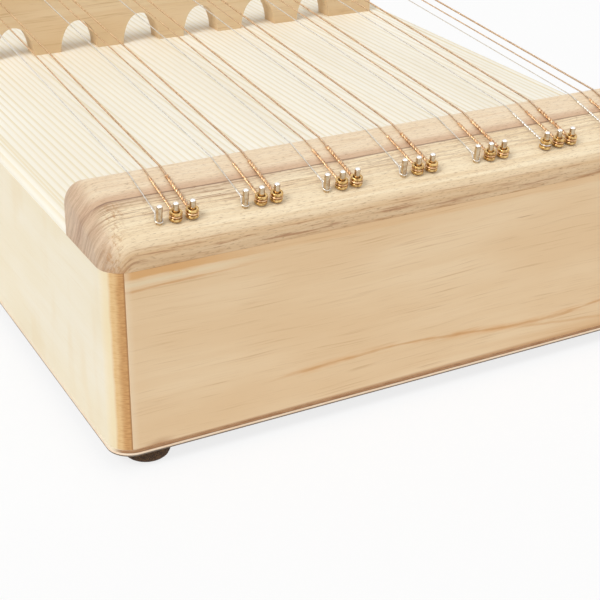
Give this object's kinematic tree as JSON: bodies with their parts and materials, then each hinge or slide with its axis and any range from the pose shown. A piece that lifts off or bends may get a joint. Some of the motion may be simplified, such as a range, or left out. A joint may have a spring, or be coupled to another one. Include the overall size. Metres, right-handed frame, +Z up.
{
  "type": "string tambourine",
  "caption": "Shallow rectangular box zither with courses of three strings over a middle bridge, hitch pins in a sloping rail and turning tuning pins.",
  "frame": {"origin": "middle of the box in plan, at the underside of the feet", "axes": "+X across the strings to the right as seen from the hitch pins, +Y along the strings to the tuning pins, +Z up"},
  "size_m": [0.2286, 0.44, 0.1067],
  "materials": {
    "maple": "satin oil",
    "spruce": "satin oil",
    "walnut": "satin oil",
    "beech": "raw",
    "plywood": "satin oil",
    "pin_steel": "nickel plated",
    "string_steel": "drawn wire",
    "string_bronze": "bronze winding and brass ball end",
    "foot": "mottled dark brown"
  },
  "bodies": {
    "box": {"bottom_plate": "plywood", "side_board_left": "maple", "side_board_right": "maple", "front_board": "maple", "end_board": "maple", "soundboard": "spruce", "soundboard_brace_front": "spruce", "soundboard_brace_back": "spruce", "bottom_brace": "spruce", "hitch_rail": "walnut", "tuning_rail": "walnut", "hitch_block": "beech", "tuning_block": "beech", "bridge": "maple", "foot_front_left": "foot", "foot_front_right": "foot", "foot_back_left": "foot", "foot_back_right": "foot", "string_01": "string_steel", "string_02": "string_bronze", "string_03": "string_bronze", "string_04": "string_steel", "string_05": "string_bronze", "string_06": "string_bronze", "string_07": "string_steel", "string_08": "string_bronze", "string_09": "string_bronze", "string_10": "string_steel", "string_11": "string_bronze", "string_12": "string_bronze", "string_13": "string_steel", "string_14": "string_bronze", "string_15": "string_bronze", "string_16": "string_steel", "string_17": "string_bronze", "string_18": "string_bronze", "string_19": "string_steel", "string_20": "string_bronze", "string_21": "string_bronze"},
    "pin_01": {"tuning_pin_01": "pin_steel"},
    "pin_02": {"tuning_pin_02": "pin_steel"},
    "pin_03": {"tuning_pin_03": "pin_steel"},
    "pin_04": {"tuning_pin_04": "pin_steel"},
    "pin_05": {"tuning_pin_05": "pin_steel"},
    "pin_06": {"tuning_pin_06": "pin_steel"},
    "pin_07": {"tuning_pin_07": "pin_steel"},
    "pin_08": {"tuning_pin_08": "pin_steel"},
    "pin_09": {"tuning_pin_09": "pin_steel"},
    "pin_10": {"tuning_pin_10": "pin_steel"},
    "pin_11": {"tuning_pin_11": "pin_steel"},
    "pin_12": {"tuning_pin_12": "pin_steel"},
    "pin_13": {"tuning_pin_13": "pin_steel"},
    "pin_14": {"tuning_pin_14": "pin_steel"},
    "pin_15": {"tuning_pin_15": "pin_steel"},
    "pin_16": {"tuning_pin_16": "pin_steel"},
    "pin_17": {"tuning_pin_17": "pin_steel"},
    "pin_18": {"tuning_pin_18": "pin_steel"},
    "pin_19": {"tuning_pin_19": "pin_steel"},
    "pin_20": {"tuning_pin_20": "pin_steel"},
    "pin_21": {"tuning_pin_21": "pin_steel"}
  },
  "joints": [
    {"name": "turn_pin_01", "type": "hinge", "parent": "box", "child": "pin_01", "pos_m": [-0.09061, 0.208, 0.08366], "axis": [0, 0, -1], "range_deg": [-810, 45]},
    {"name": "turn_pin_02", "type": "hinge", "parent": "box", "child": "pin_02", "pos_m": [-0.08495, 0.197, 0.0858], "axis": [0, 0, -1], "range_deg": [-810, 45]},
    {"name": "turn_pin_03", "type": "hinge", "parent": "box", "child": "pin_03", "pos_m": [-0.0793, 0.186, 0.08794], "axis": [0, 0, -1], "range_deg": [-810, 45]},
    {"name": "turn_pin_04", "type": "hinge", "parent": "box", "child": "pin_04", "pos_m": [-0.06121, 0.208, 0.08366], "axis": [0, 0, -1], "range_deg": [-810, 45]},
    {"name": "turn_pin_05", "type": "hinge", "parent": "box", "child": "pin_05", "pos_m": [-0.05555, 0.197, 0.0858], "axis": [0, 0, -1], "range_deg": [-810, 45]},
    {"name": "turn_pin_06", "type": "hinge", "parent": "box", "child": "pin_06", "pos_m": [-0.0499, 0.186, 0.08794], "axis": [0, 0, -1], "range_deg": [-810, 45]},
    {"name": "turn_pin_07", "type": "hinge", "parent": "box", "child": "pin_07", "pos_m": [-0.03181, 0.208, 0.08366], "axis": [0, 0, -1], "range_deg": [-810, 45]},
    {"name": "turn_pin_08", "type": "hinge", "parent": "box", "child": "pin_08", "pos_m": [-0.02615, 0.197, 0.0858], "axis": [0, 0, -1], "range_deg": [-810, 45]},
    {"name": "turn_pin_09", "type": "hinge", "parent": "box", "child": "pin_09", "pos_m": [-0.02049, 0.186, 0.08794], "axis": [0, 0, -1], "range_deg": [-810, 45]},
    {"name": "turn_pin_10", "type": "hinge", "parent": "box", "child": "pin_10", "pos_m": [-0.00241, 0.208, 0.08366], "axis": [0, 0, -1], "range_deg": [-810, 45]},
    {"name": "turn_pin_11", "type": "hinge", "parent": "box", "child": "pin_11", "pos_m": [0.00325, 0.197, 0.0858], "axis": [0, 0, -1], "range_deg": [-810, 45]},
    {"name": "turn_pin_12", "type": "hinge", "parent": "box", "child": "pin_12", "pos_m": [0.0089, 0.186, 0.08794], "axis": [0, 0, -1], "range_deg": [-810, 45]},
    {"name": "turn_pin_13", "type": "hinge", "parent": "box", "child": "pin_13", "pos_m": [0.02699, 0.208, 0.08366], "axis": [0, 0, -1], "range_deg": [-810, 45]},
    {"name": "turn_pin_14", "type": "hinge", "parent": "box", "child": "pin_14", "pos_m": [0.03265, 0.197, 0.0858], "axis": [0, 0, -1], "range_deg": [-810, 45]},
    {"name": "turn_pin_15", "type": "hinge", "parent": "box", "child": "pin_15", "pos_m": [0.0383, 0.186, 0.08794], "axis": [0, 0, -1], "range_deg": [-810, 45]},
    {"name": "turn_pin_16", "type": "hinge", "parent": "box", "child": "pin_16", "pos_m": [0.05639, 0.208, 0.08366], "axis": [0, 0, -1], "range_deg": [-810, 45]},
    {"name": "turn_pin_17", "type": "hinge", "parent": "box", "child": "pin_17", "pos_m": [0.06205, 0.197, 0.0858], "axis": [0, 0, -1], "range_deg": [-810, 45]},
    {"name": "turn_pin_18", "type": "hinge", "parent": "box", "child": "pin_18", "pos_m": [0.06771, 0.186, 0.08794], "axis": [0, 0, -1], "range_deg": [-810, 45]},
    {"name": "turn_pin_19", "type": "hinge", "parent": "box", "child": "pin_19", "pos_m": [0.08579, 0.208, 0.08366], "axis": [0, 0, -1], "range_deg": [-810, 45]},
    {"name": "turn_pin_20", "type": "hinge", "parent": "box", "child": "pin_20", "pos_m": [0.09145, 0.197, 0.0858], "axis": [0, 0, -1], "range_deg": [-810, 45]},
    {"name": "turn_pin_21", "type": "hinge", "parent": "box", "child": "pin_21", "pos_m": [0.0971, 0.186, 0.08794], "axis": [0, 0, -1], "range_deg": [-810, 45]}
  ]
}
